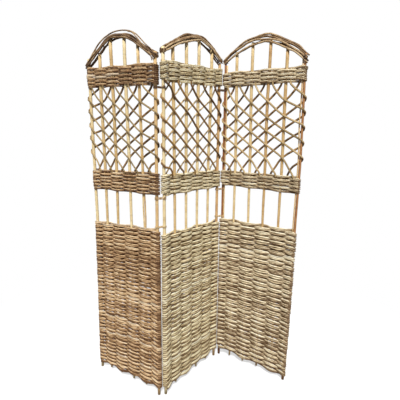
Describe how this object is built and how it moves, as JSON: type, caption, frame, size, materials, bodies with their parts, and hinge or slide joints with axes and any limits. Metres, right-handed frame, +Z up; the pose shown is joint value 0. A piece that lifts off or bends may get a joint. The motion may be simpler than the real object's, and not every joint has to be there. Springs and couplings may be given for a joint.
{
  "type": "folding willow screen",
  "caption": "Free-standing folding screen of hinged woven willow panels, with arched tops, woven bands, diagonal lattice and a tall woven foot.",
  "frame": {"origin": "centre of the standing screen's box, on the floor", "axes": "+Z up, X along the screen's overall width with the left panel at -X, front face towards -Y"},
  "size_m": [1.0396, 0.3114, 1.81],
  "materials": {
    "peeled_willow": "peeled and dried, satin",
    "tan_willow": "buff, satin",
    "red_bark": "bark on, satin",
    "brown_weave": "bark on, matt",
    "cream_weave": "half peeled, matt",
    "grey_weave": "weathered, matt",
    "dark_rod": "bark on, satin",
    "light_rod": "peeled, satin",
    "arch_bark": "bark on, matt",
    "tie_skein": "split skein, satin"
  },
  "bodies": {
    "middle_panel": {"middle_post_first": "peeled_willow", "middle_stake_1": "peeled_willow", "middle_stake_2": "peeled_willow", "middle_stake_3": "peeled_willow", "middle_stake_4": "peeled_willow", "middle_post_last": "tan_willow", "middle_lower_weave": "cream_weave", "middle_mid_band": "cream_weave", "middle_top_band": "cream_weave", "middle_lattice_rod_1": "dark_rod", "middle_lattice_rod_2": "dark_rod", "middle_lattice_rod_3": "dark_rod", "middle_lattice_rod_4": "dark_rod", "middle_lattice_rod_5": "dark_rod", "middle_arch_top_rod": "arch_bark", "middle_arch_front_rod": "arch_bark", "middle_arch_back_rod": "arch_bark"},
    "left_panel": {"left_post_first": "peeled_willow", "left_stake_1": "peeled_willow", "left_stake_2": "peeled_willow", "left_stake_3": "peeled_willow", "left_stake_4": "peeled_willow", "left_post_last": "tan_willow", "left_lower_weave": "brown_weave", "left_mid_band": "brown_weave", "left_top_band": "brown_weave", "left_lattice_rod_1": "light_rod", "left_lattice_rod_2": "light_rod", "left_lattice_rod_3": "light_rod", "left_lattice_rod_4": "light_rod", "left_lattice_rod_5": "light_rod", "left_arch_top_rod": "arch_bark", "left_arch_front_rod": "arch_bark", "left_arch_back_rod": "arch_bark"},
    "right_panel": {"right_post_first": "red_bark", "right_stake_1": "peeled_willow", "right_stake_2": "peeled_willow", "right_stake_3": "peeled_willow", "right_stake_4": "peeled_willow", "right_post_last": "red_bark", "right_lower_weave": "grey_weave", "right_mid_band": "grey_weave", "right_top_band": "grey_weave", "right_lattice_rod_1": "light_rod", "right_lattice_rod_2": "light_rod", "right_lattice_rod_3": "light_rod", "right_lattice_rod_4": "light_rod", "right_lattice_rod_5": "light_rod", "right_arch_top_rod": "arch_bark", "right_arch_front_rod": "arch_bark", "right_arch_back_rod": "arch_bark"},
    "left_ties": {"left_upper_tie": "tie_skein", "left_middle_tie": "tie_skein", "left_lower_tie": "tie_skein"},
    "right_ties": {"right_upper_tie": "tie_skein", "right_middle_tie": "tie_skein", "right_lower_tie": "tie_skein"}
  },
  "joints": [
    {"name": "left_panel_fold", "type": "hinge", "parent": "left_ties", "child": "left_panel", "pos_m": [-0.19101, -0.1397, 0], "axis": [0, 0, 1], "range_deg": [-48.3, 41.7]},
    {"name": "left_ties_swing", "type": "hinge", "parent": "middle_panel", "child": "left_ties", "pos_m": [-0.15679, -0.1397, 0], "axis": [0, 0, 1], "range_deg": [-48.3, 41.7]},
    {"name": "right_panel_fold", "type": "hinge", "parent": "right_ties", "child": "right_panel", "pos_m": [0.19101, 0.1397, 0], "axis": [0, 0, 1], "range_deg": [-48.3, 41.7]},
    {"name": "right_ties_swing", "type": "hinge", "parent": "middle_panel", "child": "right_ties", "pos_m": [0.15679, 0.1397, 0], "axis": [0, 0, 1], "range_deg": [-48.3, 41.7]}
  ],
  "couplings": [
    {"joint": "left_ties_swing", "follows": "left_panel_fold", "ratio": 1},
    {"joint": "right_ties_swing", "follows": "right_panel_fold", "ratio": 1}
  ]
}
